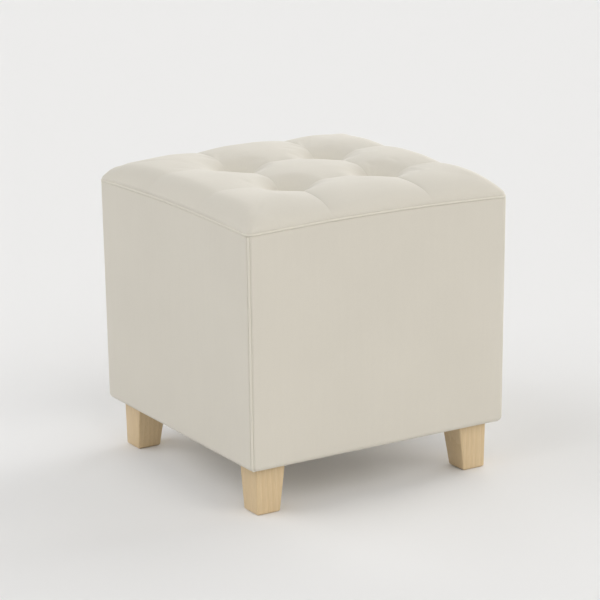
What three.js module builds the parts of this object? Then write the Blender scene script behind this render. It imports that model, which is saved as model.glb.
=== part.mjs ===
// Cube pouf stool: a padded square body under a tufted top, on four short tapered legs.
// Millimetres, +Z up. The origin is on the floor, under the middle of the body.
// The top is one filled cushion with four blind tufts. Four padded panels, mitred at the
// corners, stand round an empty core. A thin welt runs round the top seam and down each corner.

import * as THREE from 'three';
import { mergeVertices } from 'three/addons/utils/BufferGeometryUtils.js';

// Body
const WIDTH = 400; // across the sides at the top seam, both ways
const FLARE = 1.9; // each side stands this much further in at its foot than at its top
const UNDERSIDE = 66; // floor to the underside of the body
const SEAM_HEIGHT = 379.7; // floor to the top seam, at the corners
const SEAM_ARCH = 4.4; // rise of the top seam in the middle of a side
const CORNER_RADIUS = 8; // plan radius of the upright corners
const HEM_RADIUS = 8; // roll of a side panel under the body
const WALL = 24; // side panel, outer face to inner face
const PANEL_SWELL = 2; // how far the middle of a padded side panel stands out
const BASE_THICKNESS = 12; // board and cloth that close the underside
const CUSHION_DROP = 30; // how far the cushion's filling hangs down inside the side panels
const DROP_CLEARANCE = 2; // between it and their inner faces
const DROP_SLOPE = 3;

// Welts
const WELT_DIAMETER = 3.8;
const WELT_SINK = 0.8; // its centre lies this far inside the faces that it joins
const WELT_END_TURN = 86; // a corner welt stops this many degrees round the roll
const GAP = 0.3; // between pieces that touch

// Tufted top
const PUFF_RISE = 26.7; // crown of a puff over the seam
const RIM_DEPTH = 46; // how far in from the seam the rounded rim reaches
const RIM_POWER = 1.95;
const RIM_SQUARENESS = 0.2; // low: the corner puffs slope down, high: they stay square
const TUFT_OFFSET = 68.5; // each tuft stands this far from both centre lines
const TUFT_DEPTH = 36;
const TUFT_RADIUS = 12; // the pulled-down middle of a tuft
const TUFT_REACH = 43; // from there to where its hollow ends
const TUFT_POWER = 1.9;
const FOLD_DEPTH = 6.5; // folds from tuft to tuft and from the tufts to the seam
const FOLD_REACH = 50;
const FOLD_POWER = 1.3;
const FOLD_FADE = 0.3; // share of a fold's depth that is lost on the way to the seam
const RIM_LIP = 0.3; // the cushion's rim stands in by this much, so that the welt leads

// Legs
const LEG_TOP = 43.7; // side of the square top
const LEG_FOOT = 34.6;
const LEG_INSET_TOP = 18.7; // from the body's side to the leg's outer face
const LEG_INSET_FOOT = 19.8;
const LEG_EDGE = 1.6; // bevel of the long edges
const FOOT_EDGE = 3; // bevel round the foot

// Where the surfaces get their points
const SIDE_STEPS = [0, 0.22, 0.42, 0.6, 0.75, 0.88, 1]; // from the middle of a side outwards
const CORNER_STEPS = 3;
const WELT_SIDES = 8;
const WELT_SHARES = [-1, -0.75, -0.5, -0.25, 0, 0.25, 0.5, 0.75]; // along a side's straight
const WELT_ARC_STEPS = 4;
const TUFT_STEPS = [-50, -36, -25, -17, -11, -5, 0, 5, 11, 17, 25, 36, 50, 66]; // from a tuft out
const RIM_TURNS = [90, 75, 60, 47, 35, 24, 12, 0]; // degrees down the rounded rim
const FACE_SHARES = [0, 0.12, 0.28, 0.5, 0.72, 0.88, 1]; // up the face of a panel
const HEM_TURNS = [0, 18, 36, 54, 72, 90]; // degrees round the roll under the body
const SWELL_FULLNESS = 0.7; // below 1, a panel's swell spreads out flat

const half = WIDTH / 2;
const weltRadius = WELT_DIAMETER / 2;
const slot = weltRadius + GAP; // half width of the channel that holds a welt
const channelDepth = WELT_SINK + slot;

const fabric = new THREE.MeshStandardMaterial({ color: 0xcdc6b9, roughness: 0.9, metalness: 0 });
const weltFabric = new THREE.MeshStandardMaterial({ color: 0xd2cbbe, roughness: 0.9, metalness: 0 });
const underCloth = new THREE.MeshStandardMaterial({ color: 0xb9b1a3, roughness: 0.95, metalness: 0 });
const paleWood = new THREE.MeshStandardMaterial({ color: 0xd2bb95, roughness: 0.55, metalness: 0 });

// ---- helpers -------------------------------------------------------------------------------

// A closed geometry from a list of points and of triangles. Corners that fall on one point are
// merged, and triangles that shrink to nothing by that are left out.
function closedGeometry(points, triangles) {
  const raw = new THREE.BufferGeometry();
  raw.setAttribute('position', new THREE.Float32BufferAttribute(points.flat(), 3));
  raw.setIndex(triangles.flat());
  const merged = mergeVertices(raw, 1e-3);
  const index = Array.from(merged.index.array);
  const kept = [];
  for (let i = 0; i < index.length; i += 3) {
    const [a, b, c] = index.slice(i, i + 3);
    if (a !== b && b !== c && c !== a) kept.push(a, b, c);
  }
  merged.setIndex(kept);
  merged.computeVertexNormals();
  return merged;
}

// Triangles between two rings of points, numbered from a and from b, with n points each.
// Seen from outside, the rings run anticlockwise about their axis and b lies further along it.
function bandTriangles(a, b, n) {
  const triangles = [];
  for (let i = 0; i < n; i++) {
    const j = (i + 1) % n;
    triangles.push([a + i, a + j, b + j], [a + i, b + j, b + i]);
  }
  return triangles;
}

// Triangles that close a ring of points, worked out in plan and facing up.
function capTriangles(ring) {
  const contour = ring.map(([x, y]) => new THREE.Vector2(x, y));
  return THREE.ShapeUtils.triangulateShape(contour, []).map(([a, b, c]) => {
    const facesUp = !THREE.ShapeUtils.isClockWise([contour[a], contour[b], contour[c]]);
    return facesUp ? [a, b, c] : [a, c, b];
  });
}

// A solid lofted upwards through rings of the same number of points, each anticlockwise from
// above. The same triangles, given facing up, cap its foot and its top.
function loft(rings, cap = capTriangles(rings[0])) {
  const n = rings[0].length;
  const last = (rings.length - 1) * n;
  const triangles = [];
  for (let k = 0; k < last; k += n) triangles.push(...bandTriangles(k, k + n, n));
  triangles.push(...cap.map(([a, b, c]) => [a, c, b]));
  triangles.push(...cap.map((corners) => corners.map((k) => last + k)));
  return closedGeometry(rings.flat(), triangles);
}

// A welt swept along stations, each a centre with two unit vectors square to the path, where
// first x second points along it.
function sweptCord(stations, closed) {
  const sides = WELT_SIDES;
  const points = stations.flatMap(({ centre, first, second }) => {
    const ring = [];
    for (let i = 0; i < sides; i++) {
      const turn = (2 * Math.PI * i) / sides;
      const offset = first.clone().multiplyScalar(weltRadius * Math.cos(turn));
      offset.addScaledVector(second, weltRadius * Math.sin(turn));
      ring.push(centre.clone().add(offset).toArray());
    }
    return ring;
  });
  const count = stations.length;
  const triangles = [];
  for (let k = 0; k < (closed ? count : count - 1); k++) {
    triangles.push(...bandTriangles(k * sides, ((k + 1) % count) * sides, sides));
  }
  if (!closed) {
    const last = (count - 1) * sides;
    for (let i = 1; i + 1 < sides; i++) {
      triangles.push([0, i + 1, i], [last, last + i, last + i + 1]);
    }
  }
  return closedGeometry(points, triangles);
}

// Height of the top seam at a place on or inside the plan: level at the corners, with a low
// arch along each side.
function seamHeight(x, y) {
  const alongSide = Math.min(Math.abs(x), Math.abs(y));
  return SEAM_HEIGHT + SEAM_ARCH * Math.cos((Math.PI * Math.min(alongSide, half)) / WIDTH);
}

// A point of the square of half side reach, moved onto the square's outline with rounded
// corners. Points well inside stay where they are.
function roundedPlan(x, y, reach, radius) {
  const centre = reach - radius;
  const cx = Math.abs(x) - centre;
  const cy = Math.abs(y) - centre;
  if (cx <= 0 || cy <= 0) return [x, y];
  const scale = Math.max(cx, cy) / Math.hypot(cx, cy);
  return [Math.sign(x) * (centre + cx * scale), Math.sign(y) * (centre + cy * scale)];
}

// ---- tufted top ----------------------------------------------------------------------------

// A superellipse quarter that falls from 0 at the reach to 1 at no distance, ever steeper.
function rolled(distance, reach, power) {
  const near = THREE.MathUtils.clamp(1 - distance / reach, 0, 1);
  return 1 - (1 - near ** power) ** (1 / power);
}

// Rise of the top over the seam: a rounded rim all round, less the folds, where the puffs roll
// down to each other, less a pit at each tuft that the cloth rolls down into.
function topRise(x, y) {
  const rimX = 1 - rolled(half - Math.abs(x), RIM_DEPTH, RIM_POWER);
  const rimY = 1 - rolled(half - Math.abs(y), RIM_DEPTH, RIM_POWER);
  if (rimX * rimY === 0) return 0;
  const rim = (rimX ** -RIM_SQUARENESS + rimY ** -RIM_SQUARENESS - 1) ** (-1 / RIM_SQUARENESS);
  const fromFoldX = Math.abs(Math.abs(x) - TUFT_OFFSET);
  const fromFoldY = Math.abs(Math.abs(y) - TUFT_OFFSET);
  const foldX = rolled(fromFoldX, FOLD_REACH, FOLD_POWER) * (1 - FOLD_FADE * (1 - rimY));
  const foldY = rolled(fromFoldY, FOLD_REACH, FOLD_POWER) * (1 - FOLD_FADE * (1 - rimX));
  const fromPit = Math.hypot(fromFoldX, fromFoldY) - TUFT_RADIUS;
  const pit = rolled(fromPit, TUFT_REACH, TUFT_POWER);
  return rim * (PUFF_RISE - FOLD_DEPTH * Math.max(foldX, foldY) - TUFT_DEPTH * pit);
}

// Grid lines of the top from the middle out: close together at a tuft and at the rim.
function topGridLines() {
  const nearTuft = TUFT_STEPS.map((step) => TUFT_OFFSET + step);
  const nearRim = RIM_TURNS.map((turn) => {
    return half - RIM_DEPTH * (1 - Math.cos(THREE.MathUtils.degToRad(turn)));
  });
  const outwards = [...nearTuft, ...nearRim];
  return [...outwards.map((d) => -d).reverse(), 0, ...outwards];
}

// The cushion: the domed grid, a channel for the top welt under its rim, an underside that
// follows the arch of the seam where it rests on the side panels, and a flat drop inside them.
function topCushionGeometry() {
  const lines = topGridLines();
  const n = lines.length;
  const points = [];
  const triangles = [];
  const lipScale = (half - RIM_LIP) / half;
  for (const x of lines) {
    for (const y of lines) {
      const [px, py] = roundedPlan(x, y, half, CORNER_RADIUS).map((at) => at * lipScale);
      const rise = slot + (1 - slot / PUFF_RISE) * topRise(x, y);
      points.push([px, py, seamHeight(px, py) + rise]);
    }
  }
  // each cell is split along the diagonal that runs with the corner's or the tuft's slope
  for (let i = 0; i + 1 < n; i++) {
    for (let j = 0; j + 1 < n; j++) {
      const a = i * n + j;
      const [b, c, d] = [a + n, a + n + 1, a + 1];
      const sameSign = (lines[i] + lines[i + 1]) * (lines[j] + lines[j + 1]) > 0;
      if (sameSign) triangles.push([a, b, c], [a, c, d]);
      else triangles.push([a, b, d], [b, c, d]);
    }
  }
  // the rim of the grid, anticlockwise from above, and the rings under it
  const rim = [];
  for (let i = 0; i < n - 1; i++) rim.push(i * n);
  for (let j = 0; j < n - 1; j++) rim.push((n - 1) * n + j);
  for (let i = n - 1; i > 0; i--) rim.push(i * n + n - 1);
  for (let j = n - 1; j > 0; j--) rim.push(j);
  const ringUnder = (inset, lift) => {
    const reach = half - inset;
    const radius = Math.max(CORNER_RADIUS - inset, 1);
    const start = points.length;
    for (const k of rim) {
      const at = [lines[Math.floor(k / n)], lines[k % n]].map((v) => (v * reach) / half);
      const [px, py] = roundedPlan(...at, reach, radius);
      points.push([px, py, seamHeight(px, py) + lift]);
    }
    return start;
  };
  const edge = points.length;
  for (const k of rim) points.push(points[k].slice());
  const channelTop = ringUnder(channelDepth, slot);
  const channelFoot = ringUnder(channelDepth, GAP / 2);
  const bearing = ringUnder(WALL + DROP_CLEARANCE, GAP / 2);
  const drop = ringUnder(WALL + DROP_CLEARANCE + DROP_SLOPE, -CUSHION_DROP);
  const count = rim.length;
  const rings = [edge, channelTop, channelFoot, bearing, drop];
  for (let k = 1; k < rings.length; k++) triangles.push(...bandTriangles(rings[k], rings[k - 1], count));
  const middle = points.length;
  points.push([0, 0, SEAM_HEIGHT + SEAM_ARCH - CUSHION_DROP]);
  for (let i = 0; i < count; i++) triangles.push([middle, drop + ((i + 1) % count), drop + i]);
  return closedGeometry(points, triangles);
}

// ---- side panels ---------------------------------------------------------------------------

// Distance from the middle of the body to a side's face, which leans in a little downwards.
const faceDistance = (z) => half - FLARE * (1 - (z - UNDERSIDE) / (SEAM_HEIGHT - UNDERSIDE));

// The roll under the body so many degrees round: how far each side has moved in, the height,
// and how far a corner's outward direction has tilted down, in radians. A corner moves in
// along its diagonal, further than the sides do.
function hemRoll(turn) {
  const angle = THREE.MathUtils.degToRad(turn);
  return {
    inset: HEM_RADIUS * (1 - Math.cos(angle)),
    z: UNDERSIDE + HEM_RADIUS * (1 - Math.sin(angle)),
    tilt: Math.atan2(Math.SQRT2 * Math.sin(angle), Math.cos(angle)),
  };
}

// Half of the front panel's outline at one level, from the middle of the outer face to the
// middle of the inner face, with u along the side, v outwards and lift above the level. The
// outer face runs out round the corner, stops beside the corner welt, steps in to the floor of
// the welt's channel and follows the mitre to the inner face.
function halfOutline({ face, inset, floorAlong, floorLift }) {
  const centre = face - CORNER_RADIUS;
  const radius = CORNER_RADIUS - inset;
  const inner = half - WALL;
  const points = SIDE_STEPS.map((step) => [step * centre, centre + radius, 0]);
  const stop = Math.PI / 4 + Math.asin(slot / radius);
  for (let i = 1; i <= CORNER_STEPS; i++) {
    const turn = Math.PI / 2 + ((stop - Math.PI / 2) * i) / CORNER_STEPS;
    points.push([centre + radius * Math.cos(turn), centre + radius * Math.sin(turn), 0]);
  }
  for (const aside of [slot, GAP / 2]) {
    const [u, v] = [floorAlong - aside, floorAlong + aside].map((d) => centre + d / Math.SQRT2);
    points.push([u, v, floorLift]);
  }
  points.push([inner - GAP / Math.SQRT2, inner, 0]);
  for (const step of SIDE_STEPS.toReversed()) points.push([step * (inner - CORNER_RADIUS), inner, 0]);
  return points;
}

// The whole outline of the front panel at one level, anticlockwise from above.
function panelRing(level) {
  const right = halfOutline(level);
  const left = right.slice(1, -1).reverse().map(([u, v, lift]) => [-u, v, lift]);
  const isOuter = (v) => v > half - WALL + 1;
  return [...right, ...left].map(([u, v, lift]) => {
    const swell = isOuter(v) ? level.swellAt(u) : 0;
    return [u, -(v + swell), level.heightAt(u) + lift];
  });
}

// Triangles across a panel's outline, facing up: pairs that join each outer point to the inner
// point across from it, then a fan over the corner, and the same mirrored.
function panelCap() {
  const sidePoints = SIDE_STEPS.length;
  const lastOfHalf = 2 * sidePoints + CORNER_STEPS + 2; // the middle of the inner face
  const across = (i) => lastOfHalf - i;
  const rightHalf = [];
  for (let i = 0; i + 1 < sidePoints; i++) {
    rightHalf.push([i, i + 1, across(i + 1)], [i, across(i + 1), across(i)]);
  }
  const apex = across(sidePoints - 1);
  for (let i = sidePoints - 1; i + 1 < apex; i++) rightHalf.push([apex, i, i + 1]);
  const mirrored = (k) => (k === 0 || k === lastOfHalf ? k : 2 * lastOfHalf - k);
  return [...rightHalf, ...rightHalf.map(([a, b, c]) => [a, c, b].map(mirrored))];
}

function sidePanelGeometry() {
  const faceTop = SEAM_HEIGHT - slot;
  const faceFoot = UNDERSIDE + HEM_RADIUS;
  const levels = [];
  // the roll under the body
  for (const turn of HEM_TURNS.toReversed()) {
    const { inset, z, tilt } = hemRoll(turn);
    levels.push({
      face: faceDistance(faceFoot) - inset,
      inset: 0,
      floorAlong: CORNER_RADIUS - channelDepth * Math.cos(tilt),
      floorLift: channelDepth * Math.sin(tilt),
      heightAt: () => z,
      swellAt: () => 0,
    });
  }
  // the upright face: the arch of its top edge fades and its swell comes and goes on the way up
  const upright = { inset: 0, floorAlong: CORNER_RADIUS - channelDepth, floorLift: 0 };
  for (const share of FACE_SHARES) {
    const z = faceFoot + share * (faceTop - faceFoot);
    const across = (u) => Math.max(0, 1 - (u / (half - CORNER_RADIUS)) ** 2);
    levels.push({
      ...upright,
      face: faceDistance(z),
      heightAt: (u) => z + share * (seamHeight(u, half) - SEAM_HEIGHT),
      swellAt: (u) => PANEL_SWELL * (Math.sin(Math.PI * share) * across(u)) ** SWELL_FULLNESS,
    });
  }
  // the channel for the top welt, and the edge that the cushion rests on
  const ledge = CORNER_RADIUS - channelDepth;
  for (const lift of [-slot, -GAP / 2]) {
    levels.push({
      face: half,
      inset: channelDepth,
      floorAlong: Math.sqrt(ledge ** 2 - slot ** 2) - GAP,
      floorLift: 0,
      heightAt: (u) => seamHeight(u, half) + lift,
      swellAt: () => 0,
    });
  }
  return loft(levels.map(panelRing), panelCap());
}

// ---- welts ---------------------------------------------------------------------------------

const vertical = new THREE.Vector3(0, 0, 1);
const downward = new THREE.Vector3(0, 0, -1);

// The closed cord round the top seam.
function topWeltGeometry() {
  const reach = half - WELT_SINK;
  const radius = CORNER_RADIUS - WELT_SINK;
  const straight = reach - radius;
  const stations = [];
  for (let side = 0; side < 4; side++) {
    const turn = (side * Math.PI) / 2;
    const place = (x, y, normalAngle) => {
      const centre = new THREE.Vector3(x, y, 0).applyAxisAngle(vertical, turn);
      centre.z = seamHeight(centre.x, centre.y);
      const outward = new THREE.Vector3(Math.cos(normalAngle), Math.sin(normalAngle), 0);
      stations.push({ centre, first: outward.applyAxisAngle(vertical, turn), second: downward });
    };
    for (const share of WELT_SHARES) place(share * straight, -reach, -Math.PI / 2);
    for (let i = 0; i < WELT_ARC_STEPS; i++) {
      const angle = -Math.PI / 2 + ((Math.PI / 2) * i) / WELT_ARC_STEPS;
      place(straight + radius * Math.cos(angle), -straight + radius * Math.sin(angle), angle);
    }
  }
  return sweptCord(stations, true);
}

// The cord down one corner, from under the top welt to the underside, where it turns in with
// the roll of the panels. It lies in the upright plane of the front left corner's diagonal.
function cornerWeltGeometry() {
  const outward = new THREE.Vector3(-Math.SQRT1_2, -Math.SQRT1_2, 0);
  const side = new THREE.Vector3(Math.SQRT1_2, -Math.SQRT1_2, 0);
  const stations = [];
  const place = (face, inset, z, tilt) => {
    const corner = face - inset - CORNER_RADIUS;
    const facing = outward.clone().multiplyScalar(Math.cos(tilt));
    facing.addScaledVector(downward, Math.sin(tilt));
    const centre = new THREE.Vector3(-corner, -corner, z).addScaledVector(outward, CORNER_RADIUS);
    centre.addScaledVector(facing, -WELT_SINK);
    stations.push({ centre, first: side, second: facing });
  };
  const top = SEAM_HEIGHT - slot;
  const foot = UNDERSIDE + HEM_RADIUS;
  for (const share of [0, 1 / 3, 2 / 3]) {
    const z = top + share * (foot - top);
    place(faceDistance(z), 0, z, 0);
  }
  for (const turn of HEM_TURNS) {
    const { inset, z, tilt } = hemRoll(Math.min(turn, WELT_END_TURN));
    place(faceDistance(foot), inset, z, tilt);
  }
  return sweptCord(stations, false);
}

// ---- legs and underside --------------------------------------------------------------------

// A square with bevelled corners, between two inner and two outer faces of the leg.
function bevelledSquare(outer, inner, bevel, z) {
  const [a, b] = [outer + bevel, inner - bevel];
  return [
    [a, outer, z], [b, outer, z], [inner, a, z], [inner, b, z],
    [b, inner, z], [a, inner, z], [outer, b, z], [outer, a, z],
  ];
}

// The front left leg: its outer faces are nearly upright and its inner faces taper.
function legGeometry() {
  const top = UNDERSIDE - GAP;
  const outerAt = (z) => -half + LEG_INSET_FOOT + (LEG_INSET_TOP - LEG_INSET_FOOT) * (z / top);
  const sideAt = (z) => LEG_FOOT + (LEG_TOP - LEG_FOOT) * (z / top);
  const ringAt = (z, inset) => {
    const outer = outerAt(z);
    return bevelledSquare(outer + inset, outer + sideAt(z) - inset, LEG_EDGE, z);
  };
  return loft([ringAt(0, FOOT_EDGE), ringAt(FOOT_EDGE, 0), ringAt(top, 0)]);
}

function basePanelGeometry() {
  const side = 2 * (half - WALL - GAP);
  const geometry = new THREE.BoxGeometry(side, side, BASE_THICKNESS);
  geometry.translate(0, 0, UNDERSIDE + BASE_THICKNESS / 2);
  return geometry;
}

// ---- the stool -----------------------------------------------------------------------------

const stool = new THREE.Group();

function addPiece(name, geometry, material, quarterTurns = 0) {
  const mesh = new THREE.Mesh(geometry, material);
  mesh.name = name;
  mesh.rotation.z = (quarterTurns * Math.PI) / 2;
  stool.add(mesh);
}

addPiece('top_cushion', topCushionGeometry(), fabric);
addPiece('top_welt', topWeltGeometry(), weltFabric);
addPiece('base_panel', basePanelGeometry(), underCloth);

['front', 'right', 'back', 'left'].forEach((side, turns) => {
  addPiece(`panel_${side}`, sidePanelGeometry(), fabric, turns);
});

['front_left', 'front_right', 'back_right', 'back_left'].forEach((corner, turns) => {
  addPiece(`corner_welt_${corner}`, cornerWeltGeometry(), weltFabric, turns);
  addPiece(`leg_${corner}`, legGeometry(), paleWood, turns);
});

export default stool;
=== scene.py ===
"""Cube pouf stool: tufted cushion, padded sides with welts, four short wood legs, in metres."""

import math

import bmesh
import bpy
import numpy as np
from mathutils import Matrix, Vector


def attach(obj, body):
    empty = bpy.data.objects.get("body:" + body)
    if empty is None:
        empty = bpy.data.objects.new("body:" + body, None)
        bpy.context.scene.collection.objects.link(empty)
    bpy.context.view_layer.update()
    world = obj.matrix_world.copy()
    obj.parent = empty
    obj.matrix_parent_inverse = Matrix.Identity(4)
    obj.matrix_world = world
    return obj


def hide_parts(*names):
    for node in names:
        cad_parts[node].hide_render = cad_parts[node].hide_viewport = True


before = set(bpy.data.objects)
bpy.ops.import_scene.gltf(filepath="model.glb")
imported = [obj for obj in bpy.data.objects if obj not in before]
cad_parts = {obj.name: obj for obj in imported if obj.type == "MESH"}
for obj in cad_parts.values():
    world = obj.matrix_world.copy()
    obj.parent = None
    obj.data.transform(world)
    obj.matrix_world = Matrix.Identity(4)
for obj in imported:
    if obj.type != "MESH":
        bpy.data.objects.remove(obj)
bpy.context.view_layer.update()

# ---- dimensions, in metres, the same as the frame's ----------------------------------------

HALF = 0.200  # middle of the body to a side, at the top seam
FLARE = 0.0019  # each side stands this much further in at its foot
UNDERSIDE = 0.066
SEAM_HEIGHT = 0.3797  # at the corners
SEAM_ARCH = 0.0044  # how much higher the seam is in the middle of a side
CORNER_RADIUS = 0.008
LEAST_RADIUS = 0.001  # of a corner, however far in the surface lies
HEM_RADIUS = 0.008  # of the roll under the body
WALL = 0.024
PANEL_SWELL = 0.002
SWELL_FULLNESS = 0.7  # power of the panel's swell: below 1 it is flatter in the middle
BASE_THICKNESS = 0.012
BASE_EDGE = 0.002
CUSHION_DROP = 0.030  # how far the filling hangs down inside the side panels
DROP_CLEARANCE = 0.002  # between the hanging filling and the panels
DROP_SLOPE = 0.003  # how much further in the filling is at its bottom

WELT_RADIUS = 0.0019
WELT_SINK = 0.0008  # how far the middle of a welt lies inside the faces beside it
WELT_END_TURN = 86  # degrees round the roll under the body
GAP = 0.0003  # between pieces that meet
SLOT = WELT_RADIUS + 0.0001  # half width of the channel that holds a welt
CHANNEL_DEPTH = WELT_SINK + SLOT
LIP_ROLL = 0.0005  # radius at which a panel's cloth turns into a seam
LIP_ROOM = 0.8  # most of the room beside a corner's channel that this roll takes
RIM_LIP = 0.0001  # how far in from the side the cushion's edge lies
RIM_ROLL = 0.0002  # radius at which the cushion's cloth turns in over the welt

PUFF_RISE = 0.0267
TOP_LEAN = (0.03, -0.015)  # extra share of the rise at the +X and +Y edges, taken off opposite
RIM_DEPTH = {"left": 0.035, "right": 0.034, "front": 0.066, "back": 0.042}
RIM_POWER = 1.95
RIM_SQUARENESS = 0.27
RIM_LEAST = 1e-6  # a smaller share of the rim's height counts as the edge itself
TUFT_CENTRE = (0.0085, -0.005)  # the tufts were pulled a little off the middle
TUFT_OFFSET = (0.0705, 0.067)
TUFT_DEPTH = 0.045
TUFT_REACH = 0.043
TUFT_POWER = 1.9
TUFT_RADIUS = 0.012
TUFT_BOWL = 0.019  # nearer to the tuft than this, the hollow is a bowl with a pinched bottom
TUFT_BOTTOM = 0.034
TUFT_PINCH = -0.6  # slope at the bottom
FOLD_DEPTH = 0.006
FOLD_REACH = 0.050
SOFT_FOLD = 1.35
CRISP_FOLD = 1.8  # the folds to the front edge are sharper
FOLD_FADE = 0.3  # share of its depth that a fold loses at the edge it runs out to
LEFT_FOLD_FADE = 0.5  # share that the folds to the left edge lose besides
FOLD_DRIFT = 0.013  # how far the left one of the folds to the front edge strays to the left

LEG_TOP = 0.0437
LEG_FOOT = 0.0346
LEG_INSET_TOP = 0.0187
LEG_INSET_FOOT = 0.0198
LEG_EDGE = 0.002  # radius of the long edges
FOOT_EDGE = 0.003

MERGED = 2e-6  # points that are nearer to each other than this become one
ON_LINE = 1e-6  # a point that is nearer to a line of tufts than this lies on it
NO_LENGTH = 1e-9  # a shorter length counts as this where something is divided by it

# ---- how the filling presses the cover out, in the simulation's own units -------------------

CLOTH_PRESSURE = 7
CLOTH_STIFFNESS = 15
CLOTH_BENDING = 0.5
CLOTH_QUALITY = 5
CLOTH_FRAMES = 20
SIMULATED_STEP = 3  # one grid point in three is simulated
SWELL_CAP = 0.003  # metres
HELD_FOLDS = 0.08  # metres from the middle of the tufts: the folds inside this are held

# ---- how many steps the surfaces are divided into ------------------------------------------

CUSHION_STEPS = 72  # in each of the three spans between the edges and the lines of tufts
CUSHION_FLOOR_STEPS = 11
HEM_STEPS = 10
FACE_STEPS = 40  # up a panel
SIDE_STEPS = 24  # from the middle of a panel to its corner's arc
ARC_STEPS = 10
LIP_STEPS = 5
MITRE_LIP_STEPS = 4
CORD_SIDES = 16
TOP_WELT_STEPS = 48  # along one side
TOP_WELT_ARC_STEPS = 12
CORNER_WELT_STEPS = 32
CORNER_WELT_TURN_STEPS = 13
LEG_STEPS = 9
FOOT_STEPS = 6
EDGE_ARC_STEPS = 4  # round each upright edge of a leg or of the board
BASE_EDGE_STEPS = 4

# ---- colours -------------------------------------------------------------------------------

CREAM = (0.656, 0.626, 0.557)
WELT_PAINTED_HIGHLIGHT_CREAM = (0.700, 0.668, 0.590)  # the cream made lighter: a painted highlight for the light the cord catches from above and its sheen
UNDER_CREAM = (0.50, 0.455, 0.38)
WOOD_DARK = (0.60, 0.445, 0.255, 1)
WOOD_LIGHT = (0.72, 0.57, 0.365, 1)
FLOOR_GREY = (0.815, 0.815, 0.815, 1)

# Quarter turns from the front side, or from the front left corner, to each of the others.
QUARTERS = {"front": 0, "right": 1, "back": 2, "left": 3}
CORNERS = {"front_left": 0, "front_right": 1, "back_right": 2, "back_left": 3}


# ---- camera and light ----------------------------------------------------------------------

PICTURE_SIDE = 600
FOCAL_PIXELS = 2492.96
SENSOR = 36.0
CAMERA_PLACE = (-1.72159, -2.80309, 1.11322)
CAMERA_YAW, CAMERA_PITCH, CAMERA_ROLL = (math.radians(a) for a in (-31.534, 15.152, -0.639))
CAMERA_REACH = 50

PLAIN, WARM = (1.0, 1.0, 1.0), (1.0, 0.95, 0.87)
SUNS = {  # turn, lift, strength, spread and colour
    "window_right": (10, 6, 2.35, 50, PLAIN),
    "window_back": (65, 6, 2.0, 50, PLAIN),
    "box_high_right": (15, 45, 0.55, 45, PLAIN),
    "box_back_left": (135, 32, 0.94, 50, PLAIN),
    "box_left": (180, 45, 0.78, 40, PLAIN),
    "box_front": (270, 45, 0.93, 40, PLAIN),
    "lamp_front_right": (318, 18, 0.84, 40, WARM),
    "lamp_front_left": (208, 20, 0.44, 50, WARM),
    "lamp_low": (255, 8, 0.42, 50, WARM),
}


def add_camera():
    """A camera that looks down by the pitch, turned by the yaw about +Z and by the roll about
    its own axis. Its columns are right, up and back."""
    back = Vector(
        (
            math.sin(CAMERA_YAW) * math.cos(CAMERA_PITCH),
            -math.cos(CAMERA_YAW) * math.cos(CAMERA_PITCH),
            math.sin(CAMERA_PITCH),
        )
    )
    right = Vector((math.cos(CAMERA_YAW), math.sin(CAMERA_YAW), 0))
    up = back.cross(right)
    tilt = math.cos(CAMERA_ROLL), math.sin(CAMERA_ROLL)
    rolled_right = tilt[0] * right + tilt[1] * up
    rolled_up = -tilt[1] * right + tilt[0] * up
    data = bpy.data.cameras.new("camera")
    data.sensor_width = SENSOR
    data.lens = SENSOR * FOCAL_PIXELS / PICTURE_SIDE
    data.clip_end = CAMERA_REACH
    camera = bpy.data.objects.new("camera", data)
    turned = Matrix((rolled_right, rolled_up, back)).transposed().to_4x4()
    camera.matrix_world = Matrix.Translation(CAMERA_PLACE) @ turned
    bpy.context.scene.collection.objects.link(camera)
    bpy.context.scene.camera = camera


def add_sun(name, turn, lift, strength, spread, colour):
    """A soft sun: the turn anticlockwise from +X and the lift over the floor of the direction
    its light comes from, and its spread, all in degrees."""
    data = bpy.data.lights.new(name, "SUN")
    data.energy = strength
    data.angle = math.radians(spread)
    data.color = colour
    turn, lift = math.radians(turn), math.radians(lift)
    across = math.cos(lift)
    towards = Vector((across * math.cos(turn), across * math.sin(turn), math.sin(lift)))
    sun = bpy.data.objects.new(name, data)
    sun.rotation_euler = towards.to_track_quat("Z", "Y").to_euler()
    bpy.context.scene.collection.objects.link(sun)


def add_light():
    """A bright studio: two wide windows low on the right and behind, soft boxes higher up all
    round, and three warm lamps low on the viewer's side. The world itself is dark."""
    world = bpy.data.worlds.new("studio")
    world.use_nodes = True
    world.node_tree.nodes["Background"].inputs["Strength"].default_value = 0.0
    bpy.context.scene.world = world
    for name, values in SUNS.items():
        add_sun(name, *values)
    view = bpy.context.scene.view_settings
    view.view_transform = "Standard"
    view.look = "None"


# ---- finishes ------------------------------------------------------------------------------


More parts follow.
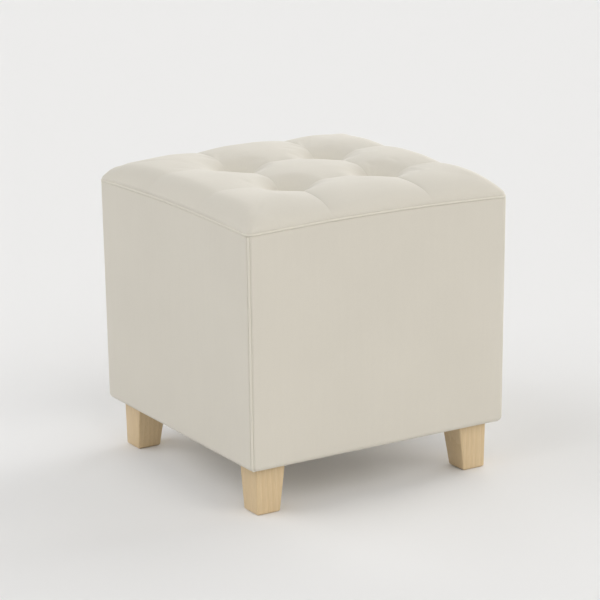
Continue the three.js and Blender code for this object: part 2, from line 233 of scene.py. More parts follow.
class Nodes:
    """Adds nodes to one tree and joins them by their socket names."""

    def __init__(self, tree):
        self.tree = tree

    def add(self, kind, inputs=None, **settings):
        node = self.tree.nodes.new(kind)
        for key, value in settings.items():
            setattr(node, key, value)
        for key, value in (inputs or {}).items():
            if isinstance(value, bpy.types.NodeSocket):
                self.tree.links.new(value, node.inputs[key])
            else:
                node.inputs[key].default_value = value
        return node

    def math(self, operation, first, second):
        return self.add("ShaderNodeMath", {0: first, 1: second}, operation=operation).outputs[0]

    def scaled(self, vector, scale):
        inputs = {"Vector": vector, "Scale": scale}
        return self.add("ShaderNodeMapping", inputs).outputs["Vector"]

    def noise(self, vector, scale, detail=2.0, roughness=0.5):
        inputs = {"Vector": vector, "Scale": scale, "Detail": detail, "Roughness": roughness}
        return self.add("ShaderNodeTexNoise", inputs).outputs["Fac"]

    def ranged(self, value, low, high, to_low, to_high):
        inputs = {
            "Value": value,
            "From Min": low,
            "From Max": high,
            "To Min": to_low,
            "To Max": to_high,
        }
        return self.add("ShaderNodeMapRange", inputs).outputs["Result"]


def new_group(name, inputs, outputs):
    """An empty shader group. Each input is a name and a kind, or a name, kind and value."""
    tree = bpy.data.node_groups.new(name, "ShaderNodeTree")
    for label, kind, *value in inputs:
        socket = tree.interface.new_socket(label, in_out="INPUT", socket_type=kind)
        if value:
            socket.default_value = value[0]
    for label, kind in outputs:
        tree.interface.new_socket(label, in_out="OUTPUT", socket_type=kind)
    nodes = Nodes(tree)
    given = nodes.add("NodeGroupInput")
    made = nodes.add("NodeGroupOutput")
    return nodes, given.outputs, made.inputs


VALUE, VECTOR = "NodeSocketFloat", "NodeSocketVector"
BAND_SCALE = math.pi / 10  # a wave texture's scale is this over the distance between its bands


def nap_group():
    """The cloth's face: a tone round 1 from soft clouds, faint upright brush marks and a fine
    grain, and a height from the grain and from bands of threads across each axis. On any face,
    the bands of two axes cross."""
    nodes, given, made = new_group(
        "brushed_nap",
        [
            ("Vector", VECTOR),
            ("Clouds", VALUE, 0.03),
            ("Brush marks", VALUE, 0.02),
            ("Grain", VALUE, 0.03),
        ],
        [("Tone", VALUE), ("Height", VALUE)],
    )
    place = given["Vector"]
    brushed = nodes.scaled(place, (1.0, 1.0, 0.06))
    clouds = nodes.noise(place, scale=9.0)
    marks = nodes.noise(brushed, scale=170.0)
    grain = nodes.noise(place, scale=620.0, detail=3.0, roughness=0.6)
    tone = 1.0
    for value, amount in ((clouds, "Clouds"), (marks, "Brush marks"), (grain, "Grain")):
        swing = nodes.math("MULTIPLY", nodes.math("SUBTRACT", value, 0.5), 2.0)
        share = nodes.math("MULTIPLY", swing, given[amount])
        tone = nodes.math("ADD", tone, share)
    nodes.tree.links.new(tone, made["Tone"])
    thread_pitch, thread_height = 0.0006, 0.12
    bands = {"Vector": place, "Scale": BAND_SCALE / thread_pitch, "Distortion": 0.6}
    across_x, across_y, across_z = (
        nodes.add("ShaderNodeTexWave", bands, bands_direction=axis).outputs["Fac"]
        for axis in ("X", "Y", "Z")
    )
    threads = nodes.math("ADD", nodes.math("ADD", across_x, across_y), across_z)
    height = nodes.math("ADD", nodes.math("MULTIPLY", threads, thread_height), grain)
    nodes.tree.links.new(height, made["Height"])
    return nodes.tree


def grain_group():
    """Wood that grows along Z: rings distorted by noise, long pores and a slow drift, as a
    tone from dark to light and a height."""
    nodes, given, made = new_group(
        "wood_grain",
        [("Vector", VECTOR), ("Ring scale", VALUE, 60.0), ("Contrast", VALUE, 0.2)],
        [("Tone", VALUE), ("Pores", VALUE), ("Height", VALUE)],
    )
    place = given["Vector"]
    drawn = nodes.scaled(place, (1.0, 1.0, 0.12))
    rings = nodes.add(
        "ShaderNodeTexWave",
        {
            "Vector": drawn,
            "Scale": given["Ring scale"],
            "Distortion": 5.0,
            "Detail": 3.0,
            "Detail Scale": 1.2,
        },
        bands_direction="X",
        wave_profile="SAW",
    ).outputs["Fac"]
    drift = nodes.noise(drawn, scale=28.0)
    pores = nodes.noise(nodes.scaled(place, (1.0, 1.0, 0.04)), scale=1500.0)
    ring_swing = nodes.math("SUBTRACT", rings, 0.5)
    drift_swing = nodes.math("SUBTRACT", drift, 0.5)
    swing = nodes.math("ADD", ring_swing, drift_swing)
    tone = nodes.math("ADD", nodes.math("MULTIPLY", swing, given["Contrast"]), 0.5)
    nodes.tree.links.new(tone, made["Tone"])
    fine = nodes.ranged(pores, 0.35, 0.6, 0.0, 1.0)
    nodes.tree.links.new(fine, made["Pores"])
    nodes.tree.links.new(nodes.math("ADD", fine, rings), made["Height"])
    return nodes.tree


def new_material(name, **constants):
    """A material with one Principled shader, whose constants are set on its own sockets."""
    material = bpy.data.materials.new(name)
    material.use_nodes = True
    nodes = Nodes(material.node_tree)
    shader = material.node_tree.nodes["Principled BSDF"]
    for label, value in constants.items():
        shader.inputs[label.replace("_", " ")].default_value = value
    place = nodes.add("ShaderNodeTexCoord").outputs["Object"]
    return material, nodes, shader, place


def tint(nodes, shader, colour, tone):
    """Makes the shader's colour the given one times the tone."""
    inputs = {"Vector": colour, "Scale": tone}
    tinted = nodes.add("ShaderNodeVectorMath", inputs, operation="SCALE").outputs["Vector"]
    nodes.tree.links.new(tinted, shader.inputs["Base Color"])


def bump(nodes, shader, height, strength, distance):
    """Makes the shader's surface rise and fall by up to the distance, times the strength."""
    inputs = {"Height": height, "Strength": strength, "Distance": distance}
    relief = nodes.add("ShaderNodeBump", inputs).outputs["Normal"]
    nodes.tree.links.new(relief, shader.inputs["Normal"])


def cloth_material(name, group, colour, clouds, marks, grain, relief):
    """Brushed cloth with a soft sheen: its colour, how much the clouds, the brush marks and the
    grain change its tone, and how strong its relief is."""
    material, nodes, shader, place = new_material(
        name, Roughness=0.92, Sheen_Weight=0.12, Sheen_Roughness=0.5, Specular_IOR_Level=0.2
    )
    nap = nodes.add("ShaderNodeGroup", node_tree=group)
    nodes.tree.links.new(place, nap.inputs["Vector"])
    for label, value in (("Clouds", clouds), ("Brush marks", marks), ("Grain", grain)):
        nap.inputs[label].default_value = value
    tint(nodes, shader, colour, nap.outputs["Tone"])
    bump(nodes, shader, nap.outputs["Height"], strength=relief, distance=0.0002)
    return material


def wood_material(group):
    """Pale satin wood with its grain running up the leg."""
    material, nodes, shader, place = new_material(
        "pale_wood",
        Roughness=0.45,
        Specular_IOR_Level=0.4,
        Coat_Weight=0.15,
        Coat_Roughness=0.3,
    )
    grain = nodes.add("ShaderNodeGroup", node_tree=group)
    nodes.tree.links.new(place, grain.inputs["Vector"])
    grain.inputs["Ring scale"].default_value = 38.0
    grain.inputs["Contrast"].default_value = 0.3
    ramp = nodes.add("ShaderNodeValToRGB", {"Fac": grain.outputs["Tone"]})
    dark, light = ramp.color_ramp.elements
    dark.position, dark.color = 0.1, WOOD_DARK
    light.position, light.color = 0.9, WOOD_LIGHT
    streak = nodes.ranged(grain.outputs["Pores"], 0.0, 1.0, 0.93, 1.02)
    tint(nodes, shader, ramp.outputs["Color"], streak)
    bump(nodes, shader, grain.outputs["Height"], strength=0.2, distance=0.0001)
    return material


# ---- surfaces ------------------------------------------------------------------------------


def grid_faces(rows, columns, wrap_rows=False, wrap_columns=False, first=0):
    """Four-cornered faces between neighbours on a grid of points numbered row by row."""
    i = np.arange(rows if wrap_rows else rows - 1)[:, None]
    j = np.arange(columns if wrap_columns else columns - 1)[None, :]
    next_i, next_j = (i + 1) % rows, (j + 1) % columns
    row, next_row = i * columns, next_i * columns
    corners = [row + j, next_row + j, next_row + next_j, row + next_j]
    shape = np.broadcast(i, j).shape
    return first + np.stack([np.broadcast_to(c, shape) for c in corners], -1).reshape(-1, 4)


def new_piece(name, points, faces, material, replaced):
    """A closed smooth mesh from points and four-cornered faces, with its normals outwards, that
    stands for the replaced nodes. Points that fall together are merged."""
    mesh = bpy.data.meshes.new(name)
    mesh.from_pydata(np.asarray(points).reshape(-1, 3).tolist(), [], np.asarray(faces).tolist())
    mesh.materials.append(material)
    piece = bpy.data.objects.new(name, mesh)
    bpy.context.scene.collection.objects.link(piece)

    work = bmesh.new()
    work.from_mesh(mesh)
    bmesh.ops.remove_doubles(work, verts=work.verts, dist=MERGED)
    bmesh.ops.recalc_face_normals(work, faces=work.faces)
    work.to_mesh(mesh)
    work.free()
    mesh.shade_smooth()
    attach(piece, "root")
    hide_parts(*replaced)
    return piece


def quarter_turned(points, turns):
    """Points turned about +Z by so many quarter turns."""
    cos, sin = [(1, 0), (0, 1), (-1, 0), (0, -1)][turns]
    x, y, z = points[..., 0], points[..., 1], points[..., 2]
    return np.stack([cos * x - sin * y, sin * x + cos * y, z], -1)


def seam_height(x, y):
    """Height of the top seam: level at the corners, with a half cosine arch along each side."""
    along = np.minimum(np.minimum(abs(x), abs(y)), HALF)
    return SEAM_HEIGHT + SEAM_ARCH * np.cos(math.pi * along / (2 * HALF))


def rounded_plan(x, y, reach, radius):
    """Plan points of a square with its corners moved in onto arcs of that radius."""
    centre = reach - radius
    cx, cy = abs(x) - centre, abs(y) - centre
    outside = (cx > 0) & (cy > 0)
    length = np.maximum(np.hypot(cx, cy), NO_LENGTH)
    scale = np.where(outside, np.maximum(cx, cy) / length, 1.0)
    moved_x = np.where(outside, np.sign(x) * (centre + cx * scale), x)
    moved_y = np.where(outside, np.sign(y) * (centre + cy * scale), y)
    return moved_x, moved_y


def face_distance(z):
    """Middle of the body to a side's face, which leans in a little downwards."""
    return HALF - FLARE * (1 - (z - UNDERSIDE) / (SEAM_HEIGHT - UNDERSIDE))


# ---- tufted top ----------------------------------------------------------------------------


def rolled(distance, reach, power):
    """A superellipse quarter that falls from 0 at the reach to 1 at no distance, steeper and
    steeper: 1 - (1 - u^p)^(1/p), where u = 1 - distance / reach."""
    near = np.clip(1 - distance / reach, 0, 1)
    return 1 - (1 - near**power) ** (1 / power)


def hollow(away):
    """Depth of a tuft's hollow at a distance from the tuft: a roll down towards it and, inside
    the bowl, the cubic that carries on from the roll, at its slope, to the pinched bottom."""
    reach = np.maximum(away, TUFT_BOWL) - TUFT_RADIUS
    wall = TUFT_DEPTH * rolled(reach, TUFT_REACH, TUFT_POWER)
    step = 1e-5  # outwards, for the wall's slope at the bowl's brim
    brim, outside = (
        TUFT_DEPTH * rolled(TUFT_BOWL + further - TUFT_RADIUS, TUFT_REACH, TUFT_POWER)
        for further in (0, step)
    )
    brim_slope = (outside - brim) / step
    t = np.clip(away / TUFT_BOWL, 0, 1)
    bowl = (2 * t**3 - 3 * t**2 + 1) * TUFT_BOTTOM + (3 * t**2 - 2 * t**3) * brim
    bowl += TUFT_BOWL * ((t**3 - 2 * t**2 + t) * TUFT_PINCH + (t**3 - t**2) * brim_slope)
    return np.where(away < TUFT_BOWL, bowl, wall)


def tuft_lines(x, y):
    """Distances of plan points from the nearest line of tufts, in x and in y."""
    from_x = abs(abs(x - TUFT_CENTRE[0]) - TUFT_OFFSET[0])
    from_y = abs(abs(y - TUFT_CENTRE[1]) - TUFT_OFFSET[1])
    return from_x, from_y


def top_rise(x, y):
    """Rise of the top over the seam: the rim times what is left of the leaning puff's rise less
    the folds and less a hollow round each tuft. The rim is a superellipse quarter in from each
    edge, and the two of a point are blended as (a^-q + b^-q - 1)^(-1/q). A fold is a roll down
    into a line of tufts, crisper towards the front edge. Where two folds cross, the fourth root
    of the sum of their fourth powers counts."""
    depth_x = np.where(x < 0, RIM_DEPTH["left"], RIM_DEPTH["right"])
    depth_y = np.where(y < 0, RIM_DEPTH["front"], RIM_DEPTH["back"])
    rim_x = 1 - rolled(HALF - abs(x), depth_x, RIM_POWER)
    rim_y = 1 - rolled(HALF - abs(y), depth_y, RIM_POWER)
    q = RIM_SQUARENESS
    at_edge = np.minimum(rim_x, rim_y) < RIM_LEAST
    safe_x, safe_y = np.maximum(rim_x, RIM_LEAST), np.maximum(rim_y, RIM_LEAST)
    rim = np.where(at_edge, 0, (safe_x**-q + safe_y**-q - 1) ** (-1 / q))
    from_x, from_y = tuft_lines(x, y)
    left = np.clip((TUFT_CENTRE[0] - TUFT_OFFSET[0] - x) / FOLD_REACH, 0, 1)
    front = np.clip((TUFT_CENTRE[1] - TUFT_OFFSET[1] - y) / FOLD_REACH, 0, 1)
    crisp = SOFT_FOLD + (CRISP_FOLD - SOFT_FOLD) * np.sqrt(front)
    fold_x = rolled(from_x, FOLD_REACH, crisp) * (1 - FOLD_FADE * (1 - rim_y))
    fold_y = rolled(from_y, FOLD_REACH, SOFT_FOLD) * (1 - FOLD_FADE * (1 - rim_x))
    fold = np.hypot(fold_x**2, (fold_y * (1 - LEFT_FOLD_FADE * left)) ** 2) ** 0.5
    pit = hollow(np.hypot(from_x, from_y))
    puff = PUFF_RISE * (1 + (TOP_LEAN[0] * x + TOP_LEAN[1] * y) / HALF)
    return rim * (puff - FOLD_DEPTH * fold - pit)


def cushion_lines(count, axis):
    """Positions of three times count steps from one edge to the other, closer together at the
    rims and at the two lines of tufts, which are grid lines: half even, half eased by a
    cosine."""
    middle, offset = TUFT_CENTRE[axis], TUFT_OFFSET[axis]
    stops = (-HALF, middle - offset, middle + offset, HALF)
    share = np.linspace(0, 1, count + 1)
    eased = 0.5 * share + 0.25 * (1 - np.cos(math.pi * share))
    spans = [low + (high - low) * eased[:-1] for low, high in zip(stops, stops[1:])]
    return np.concatenate([*spans, [HALF]])


def strayed(x, y):
    """Plan x of the cloth's points, moved to the left near the left fold to the front edge:
    most on the fold and at the edge, by a squared sine across and evenly along the fold from
    the tuft to the edge."""
    fold = TUFT_CENTRE[0] - TUFT_OFFSET[0]
    across = np.interp(x, [-HALF, fold, TUFT_CENTRE[0]], [0, 0.5, 1])
    along = np.clip((TUFT_CENTRE[1] - TUFT_OFFSET[1] - y) / (HALF - TUFT_OFFSET[1]), 0, 1)
    return x - FOLD_DRIFT * along * np.sin(math.pi * across) ** 2


def pressed_out(points, held):
    """How far a grid of points of the cover moves when the filling presses it out: cloth over
    a closed shell of the grid and a floor, with pressure and no gravity. The held points stay.
    The shell is deleted afterwards, and the first frame is set again."""
    rows, columns = held.shape
    faces = grid_faces(rows, columns).tolist()
    faces.append(rim_of(np.arange(rows * columns).reshape(rows, columns)).tolist())
    mesh = bpy.data.meshes.new("pressed_cover")
    mesh.from_pydata(points.reshape(-1, 3).tolist(), [], faces)
    work = bmesh.new()
    work.from_mesh(mesh)
    bmesh.ops.recalc_face_normals(work, faces=work.faces)
    work.to_mesh(mesh)
    work.free()
    cover = bpy.data.objects.new("pressed_cover", mesh)
    scene = bpy.context.scene
    scene.collection.objects.link(cover)
    group = cover.vertex_groups.new(name="held")
    group.add(np.flatnonzero(held.ravel()).tolist(), 1.0, "REPLACE")
    cloth = cover.modifiers.new("cloth", "CLOTH")
    cloth.collision_settings.use_collision = False
    settings = cloth.settings
    settings.vertex_group_mass = "held"
    settings.quality = CLOTH_QUALITY
    settings.tension_stiffness = settings.compression_stiffness = CLOTH_STIFFNESS
    settings.bending_stiffness = CLOTH_BENDING
    settings.use_pressure = True
    settings.uniform_pressure_force = CLOTH_PRESSURE
    settings.effector_weights.gravity = 0
    for frame_number in range(1, CLOTH_FRAMES + 1):
        scene.frame_set(frame_number)
    pressed = cover.evaluated_get(bpy.context.evaluated_depsgraph_get()).to_mesh()
    moved = np.empty(3 * len(pressed.vertices))
    pressed.vertices.foreach_get("co", moved)
    bpy.data.objects.remove(cover)
    bpy.data.meshes.remove(mesh)
    scene.frame_set(1)
    return moved.reshape(points.shape) - points


def refined(grid, times):
    """A grid of vectors with so many steps for each one: linear between its points, then
    smoothed along both axes by a running mean as wide as a step."""
    count = len(grid)
    fine = np.linspace(0, count - 1, (count - 1) * times + 1)
    low = np.minimum(fine.astype(int), count - 2)
    share = (fine - low)[:, None, None]
    window = np.ones(times) / times
    for _ in range(2):
        grid = grid[low] * (1 - share) + grid[low + 1] * share
        padded = np.pad(grid, ((times // 2, times // 2), (0, 0), (0, 0)), mode="edge")
        grid = np.apply_along_axis(np.convolve, 0, padded, window, mode="valid")
        grid = grid.swapaxes(0, 1)
    return grid


def swell(top, x, y):
    """The cover's points moved as the simulation of every third one says, with the length of
    each move m capped to the cap times tanh(m / cap). What is sewn or pulled down is held: the
    rim, the insides of the hollows, the folds between tufts and the two to the front edge."""
    coarse = slice(None, None, SIMULATED_STEP)
    plan_x, plan_y = x[coarse, coarse], y[coarse, coarse]
    from_x, from_y = tuft_lines(plan_x, plan_y)
    from_middle = np.maximum(abs(plan_x - TUFT_CENTRE[0]), abs(plan_y - TUFT_CENTRE[1]))
    held = np.hypot(from_x, from_y) < TUFT_BOWL
    held |= (np.minimum(from_x, from_y) < ON_LINE) & (from_middle < HELD_FOLDS)
    held |= (from_x < ON_LINE) & (plan_y < TUFT_CENTRE[1])
    held[[0, -1]] = held[:, [0, -1]] = True
    moved = pressed_out(top[coarse, coarse], held)
    length = np.linalg.norm(moved, axis=-1, keepdims=True)
    moved *= SWELL_CAP * np.tanh(length / SWELL_CAP) / np.maximum(length, NO_LENGTH)
    return top + refined(moved, SIMULATED_STEP)


def rim_of(grid):
    """The outer points of a square grid of points, in order round it."""
    return np.concatenate([grid[:-1, 0], grid[-1, :-1], grid[:0:-1, -1], grid[0, :0:-1]])


def add_cushion(material):
    """The cushion's cover: the tufted top as a height over the plan, a roll into the seam, the
    channel over the welt, and a plain underside that follows the seam's arch."""
    x, y = np.meshgrid(*(cushion_lines(CUSHION_STEPS, axis) for axis in (0, 1)), indexing="ij")
    count = len(x)
    cloth_x = strayed(x, y)
    lip = (HALF - RIM_LIP) / HALF
    px, py = rounded_plan(cloth_x, y, HALF, CORNER_RADIUS)
    px, py = px * lip, py * lip
    lift = SLOT + RIM_ROLL
    z = seam_height(px, py) + lift + (1 - lift / PUFF_RISE) * top_rise(x, y)
    top = swell(np.stack([px, py, z], -1), x, y)
    edge_x, edge_y = rim_of(cloth_x), rim_of(y)
    around = len(edge_x)

    def ring(inset, over_seam):
        reach = HALF - inset
        radius = max(CORNER_RADIUS - inset, LEAST_RADIUS)
        rx, ry = rounded_plan(edge_x * reach / HALF, edge_y * reach / HALF, reach, radius)
        return np.stack([rx, ry, seam_height(rx, ry) + over_seam], -1)

    roll = [
        ring(RIM_LIP + RIM_ROLL * (1 - math.cos(turn)), lift - RIM_ROLL * math.sin(turn))
        for turn in np.linspace(0, math.pi / 2, LIP_STEPS + 1)[1:]
    ]
    bearing = WALL + DROP_CLEARANCE
    under = [
        ring(CHANNEL_DEPTH, SLOT),
        ring(CHANNEL_DEPTH, GAP / 2),
        ring(bearing, GAP / 2),
        ring(bearing + DROP_SLOPE, -CUSHION_DROP),
    ]
    inwards = np.linspace(1, 0, CUSHION_FLOOR_STEPS + 1)[1:, None, None]
    middle = np.array([0, 0, SEAM_HEIGHT + SEAM_ARCH - CUSHION_DROP])
    floor_rings = middle + (under[-1] - middle)[None] * inwards
    rings = np.concatenate([np.stack([rim_of(top), *roll, *under]), floor_rings])
    points = np.concatenate([top.reshape(-1, 3), rings.reshape(-1, 3)])
    faces = np.concatenate(
        [
            grid_faces(count, count),
            grid_faces(len(rings), around, wrap_columns=True, first=count * count),
        ]
    )
    piece = new_piece("cushion_cover", points, faces, material, ["top_cushion"])


# ---- side panels ---------------------------------------------------------------------------


def hem_roll(turn):
    """The roll under the body at turns in radians: how far each side has moved in, the height,
    and how far a corner's outward direction has tilted down. A corner moves in along its
    diagonal, further than the sides by the square root of 2."""
    inset = HEM_RADIUS * (1 - np.cos(turn))
    z = UNDERSIDE + HEM_RADIUS * (1 - np.sin(turn))
    return inset, z, np.arctan2(math.sqrt(2) * np.sin(turn), np.cos(turn))


def panel_levels():
    """The panel's levels from its underside up, as columns: face distance, inset of the
    corner's arc, tilt of the outside in radians, z, and share of the way up the face."""
    foot, top = UNDERSIDE + HEM_RADIUS, SEAM_HEIGHT - SLOT - LIP_ROLL
    rows = []
    for turn in np.linspace(math.pi / 2, 0, HEM_STEPS + 1):
        inset, z, tilt = hem_roll(turn)
        rows.append((face_distance(foot) - inset, 0, tilt, z, 0))
    for share in np.linspace(0, 1, FACE_STEPS + 1)[1:]:
        z = foot + share * (top - foot)
        rows.append((face_distance(z), 0, 0, z, share))
    for turn in np.linspace(0, math.pi / 2, LIP_STEPS + 1)[1:]:
        inset, lift = LIP_ROLL * (1 - math.cos(turn)), LIP_ROLL * math.sin(turn)
        rows.append((HALF, inset, 0, top + lift, 1))
    rows.append((HALF, CHANNEL_DEPTH, 0, SEAM_HEIGHT - SLOT, 1))
    rows.append((HALF, CHANNEL_DEPTH, 0, SEAM_HEIGHT - GAP / 2, 1))
    return (np.array(column)[:, None] for column in zip(*rows))


def panel_points():
    """The front panel as levels of one closed outline each. The outer half of an outline runs
    from the middle of the face, round the corner's arc, over a roll into the welt's channel,
    and to the mitre. The inner half comes back along the inner face with as many points. The
    face swells by a power of a sine upwards times a parabola across."""
    face, inset, tilt, z, share = panel_levels()
    centre = face - CORNER_RADIUS
    radius = CORNER_RADIUS - inset
    side = np.linspace(0, 1, SIDE_STEPS + 1)[None, :]
    roll = np.clip(LIP_ROOM * (radius * math.sin(math.pi / 4) - SLOT), 0, LIP_ROLL)
    aside = SLOT + roll
    start = np.sqrt(radius**2 - aside**2)
    stop = math.pi / 4 + np.arcsin(aside / radius)
    arc = math.pi / 2 + (stop - math.pi / 2) * np.linspace(0, 1, ARC_STEPS + 1)[None, 1:]
    flat = np.ones_like(side)
    u_side, v_side, rise_side = side * centre, (centre + radius) * flat, 0 * z * flat
    u_arc, v_arc = centre + radius * np.cos(arc), centre + radius * np.sin(arc)
    turn = np.linspace(0, math.pi / 2, MITRE_LIP_STEPS + 1)[None, 1:]
    roll_aside = aside - roll * np.sin(turn)
    out = -roll * (1 - np.cos(turn))
    roll_along = start + out * np.cos(tilt)
    roll_lift = -out * np.sin(tilt)
    deep = CORNER_RADIUS - CHANNEL_DEPTH * np.cos(tilt)
    floor_along = np.minimum(deep, np.sqrt(radius**2 - SLOT**2) - roll - GAP)
    floor_along = np.where(tilt > 0, deep, floor_along)
    floor_lift = CHANNEL_DEPTH * np.sin(tilt)
    channel_aside = np.array([[SLOT, GAP / 2]]) + 0 * z
    channel_along = floor_along + 0 * channel_aside
    channel_lift = floor_lift + 0 * channel_aside
    on_aside = np.concatenate([roll_aside, channel_aside], 1)
    on_along = np.concatenate([roll_along, channel_along], 1)
    on_lift = np.concatenate([roll_lift, channel_lift], 1)
    u_seam = centre + (on_along - on_aside) / math.sqrt(2)
    v_seam = centre + (on_along + on_aside) / math.sqrt(2)
    u = np.concatenate([u_side, u_arc, u_seam], 1)
    v = np.concatenate([v_side, v_arc, v_seam], 1)
    rise = np.concatenate([rise_side, 0 * u_arc, on_lift], 1)

    across = np.maximum(0, 1 - (u / (HALF - CORNER_RADIUS)) ** 2)
    v = v + PANEL_SWELL * (np.sin(math.pi * share) * across) ** SWELL_FULLNESS
    height = z + share * (seam_height(u, HALF) - SEAM_HEIGHT) + rise

    outer = u.shape[1]
    inner_face = HALF - WALL
    corner_u = inner_face - GAP / math.sqrt(2)
    back_u = corner_u * np.linspace(1, 0, outer)[None, :] + 0 * z
    back_v = inner_face + 0 * back_u
    back_height = z + share * (seam_height(back_u, HALF) - SEAM_HEIGHT)
    half_u = np.concatenate([u, back_u], 1)
    half_v = np.concatenate([v, back_v], 1)
    half_z = np.concatenate([height, back_height], 1)
    right = np.stack([half_u, -half_v, half_z], -1)
    left = right[:, ::-1] * np.array([-1, 1, 1])
    return np.concatenate([right, left[:, 1:-1]], 1), outer


def add_panels(material):
    """Four padded side panels: the front one, turned a quarter each time. The underside and the
    top edge are strips that join each outer point to the inner point across from it."""
    points, outer = panel_points()
    levels, around = points.shape[:2]
    middle_inner = 2 * outer - 1
    near = np.arange(middle_inner + 1 - outer)
    pairs = np.stack([near, near + 1, middle_inner - near - 1, middle_inner - near], -1)[:-1]
    mirrored = (around - pairs) % around
    cap = np.concatenate([pairs, mirrored[:, ::-1]])
    faces = np.concatenate(
        [grid_faces(levels, around, wrap_columns=True), cap, cap + (levels - 1) * around]
    )
    for side, turns in QUARTERS.items():
        new_piece(
            f"side_cover_{side}",
            quarter_turned(points, turns),
            faces,
            material,
            [f"panel_{side}"],
        )


# ---- welts ---------------------------------------------------------------------------------


def swept_cord(centres, first, second, radius, sides):
    """Rings of points round a path: the centre plus the radius times cos and sin of the turn
    along two unit vectors square to the path."""
    turn = np.linspace(0, 2 * math.pi, sides, endpoint=False)[None, :, None]
    around = np.cos(turn) * first[:, None] + np.sin(turn) * second[:, None]
    return centres[:, None] + radius * around


def add_top_welt(material):
    """The cord round the top seam: a rounded square in plan at the seam's height."""
    reach, radius = HALF - WELT_SINK, CORNER_RADIUS - WELT_SINK
    straight = reach - radius
    along = np.linspace(-straight, straight, TOP_WELT_STEPS, endpoint=False)
    angle = np.linspace(-math.pi / 2, 0, TOP_WELT_ARC_STEPS, endpoint=False)
    x = np.concatenate([along, straight + radius * np.cos(angle)])
    y = np.concatenate([np.full_like(along, -reach), -straight + radius * np.sin(angle)])
    facing = np.concatenate([np.full_like(along, -math.pi / 2), angle])
    side = np.stack([x, y, 0 * x], -1)
    outward = np.stack([np.cos(facing), np.sin(facing), 0 * facing], -1)
    centres = np.concatenate([quarter_turned(side, turns) for turns in range(4)])
    first = np.concatenate([quarter_turned(outward, turns) for turns in range(4)])
    centres[:, 2] = seam_height(centres[:, 0], centres[:, 1])
    second = np.tile([0.0, 0.0, -1.0], (len(first), 1))
    points = swept_cord(centres, first, second, WELT_RADIUS, CORD_SIDES)
    faces = grid_faces(*points.shape[:2], wrap_rows=True, wrap_columns=True)
    new_piece("seam_welt_top", points, faces, material, ["top_welt"])


def add_corner_welts(material):
    """The cord down each corner: straight down the corner, then round the roll under the body,
    each end closed at its middle."""
    foot, top = UNDERSIDE + HEM_RADIUS, SEAM_HEIGHT - SLOT
    straight = np.linspace(top, foot, CORNER_WELT_STEPS, endpoint=False)
    under = hem_roll(np.radians(np.linspace(0, WELT_END_TURN, CORNER_WELT_TURN_STEPS + 1)))
    upright = 0 * straight, straight, 0 * straight
    inset, z, tilt = (np.concatenate(pair) for pair in zip(upright, under))
    corner = face_distance(np.maximum(z, foot)) - inset - CORNER_RADIUS
    diagonal = -(corner + CORNER_RADIUS / math.sqrt(2))
    outward = np.array([-1.0, -1.0, 0.0]) / math.sqrt(2)
    down = np.array([0.0, 0.0, -1.0])
    facing = np.cos(tilt)[:, None] * outward + np.sin(tilt)[:, None] * down
    centres = np.stack([diagonal, diagonal, z], -1) - WELT_SINK * facing
    side = np.tile(np.array([1.0, -1.0, 0.0]) / math.sqrt(2), (len(z), 1))
    points = swept_cord(centres, side, facing, WELT_RADIUS, CORD_SIDES)
    top_end, foot_end = (
        np.repeat(ring.mean(0)[None, None], CORD_SIDES, 1) for ring in (points[0], points[-1])
    )
    points = np.concatenate([top_end, points, foot_end])
    faces = grid_faces(*points.shape[:2], wrap_columns=True)
    for corner_name, turns in CORNERS.items():
        new_piece(
            f"seam_welt_{corner_name}",
            quarter_turned(points, turns),
            faces,
            material,
            [f"corner_welt_{corner_name}"],
        )


# ---- legs and underside --------------------------------------------------------------------


def rounded_square(low, high, radius):
    """Plan points of a square from low to high, whose corners are arcs of the radius. The low
    and high ends and the radius are columns, one for each level."""
    turn = np.linspace(0, math.pi / 2, EDGE_ARC_STEPS + 1)[None, :]
    xs, ys = [], []
    for quarter, (at_x, at_y) in enumerate([(1, 0), (1, 1), (0, 1), (0, 0)]):
        angle = turn - math.pi / 2 + quarter * math.pi / 2
        centre_x = high - radius if at_x else low + radius
        centre_y = high - radius if at_y else low + radius
        xs.append(centre_x + radius * np.cos(angle))
        ys.append(centre_y + radius * np.sin(angle))
    return np.concatenate(xs, 1), np.concatenate(ys, 1)


def lofted(x, y, z):
    """Levels of an outline as points and faces, closed over the middle of the first and of the
    last level."""
    points = np.stack([x, y, z + 0 * x], -1)
    foot = np.broadcast_to(points[0].mean(0), points[:1].shape)
    top = np.broadcast_to(points[-1].mean(0), points[:1].shape)
    points = np.concatenate([foot, points, top])
    return points, grid_faces(*points.shape[:2], wrap_columns=True)


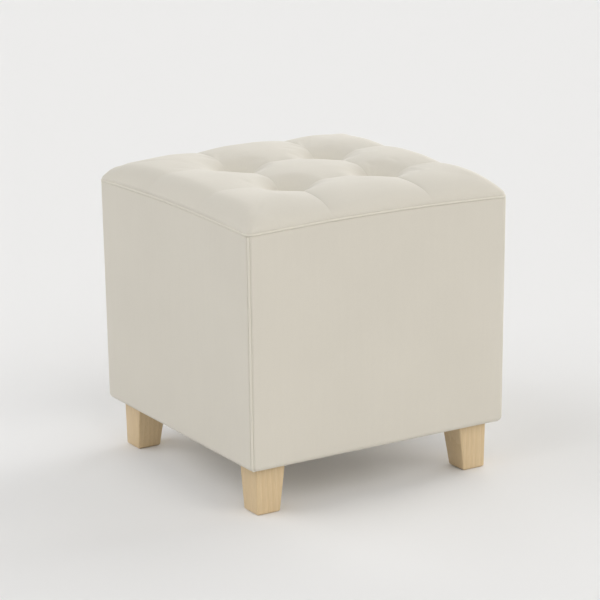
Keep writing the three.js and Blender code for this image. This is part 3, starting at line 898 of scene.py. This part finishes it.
def add_legs(material):
    """Four tapered legs: outer faces nearly upright, inner faces tapering, edges rounded."""
    top = UNDERSIDE - GAP
    turn = np.linspace(0, math.pi / 2, FOOT_STEPS + 1)
    straight = np.linspace(FOOT_EDGE, top, LEG_STEPS + 1)[1:]
    inset = np.concatenate([FOOT_EDGE * (1 - np.sin(turn)), 0 * straight])[:, None]
    z = np.concatenate([FOOT_EDGE * (1 - np.cos(turn)), straight])[:, None]
    outer = -HALF + LEG_INSET_FOOT + (LEG_INSET_TOP - LEG_INSET_FOOT) * z / top
    side = LEG_FOOT + (LEG_TOP - LEG_FOOT) * z / top
    x, y = rounded_square(outer + inset, outer + side - inset, LEG_EDGE + 0 * z)
    points, faces = lofted(x, y, z)
    for corner, turns in CORNERS.items():
        new_piece(
            f"wood_leg_{corner}",
            quarter_turned(points, turns),
            faces,
            material,
            [f"leg_{corner}"],
        )


def add_underside(material):
    """The board under the body, covered in plain cloth, with soft edges."""
    reach = HALF - WALL - GAP
    turn = np.linspace(0, math.pi / 2, BASE_EDGE_STEPS + 1)
    falling, rising = BASE_EDGE * (1 - np.sin(turn)), BASE_EDGE * (1 - np.cos(turn))
    inset = np.concatenate([falling, rising])[:, None]
    z = np.concatenate([UNDERSIDE + rising, UNDERSIDE + BASE_THICKNESS - falling])[:, None]
    x, y = rounded_square(-reach + inset, reach - inset, BASE_EDGE + 0 * z)
    points, faces = lofted(x, y, z)
    new_piece("under_cloth_board", points, faces, material, ["base_panel"])


def add_floor():
    """A plain pale floor."""
    reach = 20.0
    points = [(x * reach, y * reach, 0) for x, y in ((-1, -1), (1, -1), (1, 1), (-1, 1))]
    mesh = bpy.data.meshes.new("floor")
    mesh.from_pydata(points, [], [(0, 1, 2, 3)])
    material, _, shader, _ = new_material("floor_paint", Roughness=0.9, Specular_IOR_Level=0.0)
    shader.inputs["Base Color"].default_value = FLOOR_GREY
    mesh.materials.append(material)
    floor = bpy.data.objects.new("floor", mesh)
    bpy.context.scene.collection.objects.link(floor)


add_camera()
add_light()
nap = nap_group()
cloth = cloth_material(
    "cream_cloth", nap, CREAM, clouds=0.03, marks=0.01, grain=0.03, relief=0.35
)
# The welts' cloth is lighter than the rest of the cover: a painted highlight.
welt_cloth = cloth_material(
    "welt_cloth", nap, WELT_PAINTED_HIGHLIGHT_CREAM, clouds=0.02, marks=0.0, grain=0.03, relief=0.3
)
base_cloth = cloth_material(
    "base_cloth", nap, UNDER_CREAM, clouds=0.03, marks=0.0, grain=0.06, relief=0.5
)
wood = wood_material(grain_group())
add_cushion(cloth)
add_panels(cloth)
add_top_welt(welt_cloth)
add_corner_welts(welt_cloth)
add_legs(wood)
add_underside(base_cloth)
add_floor()
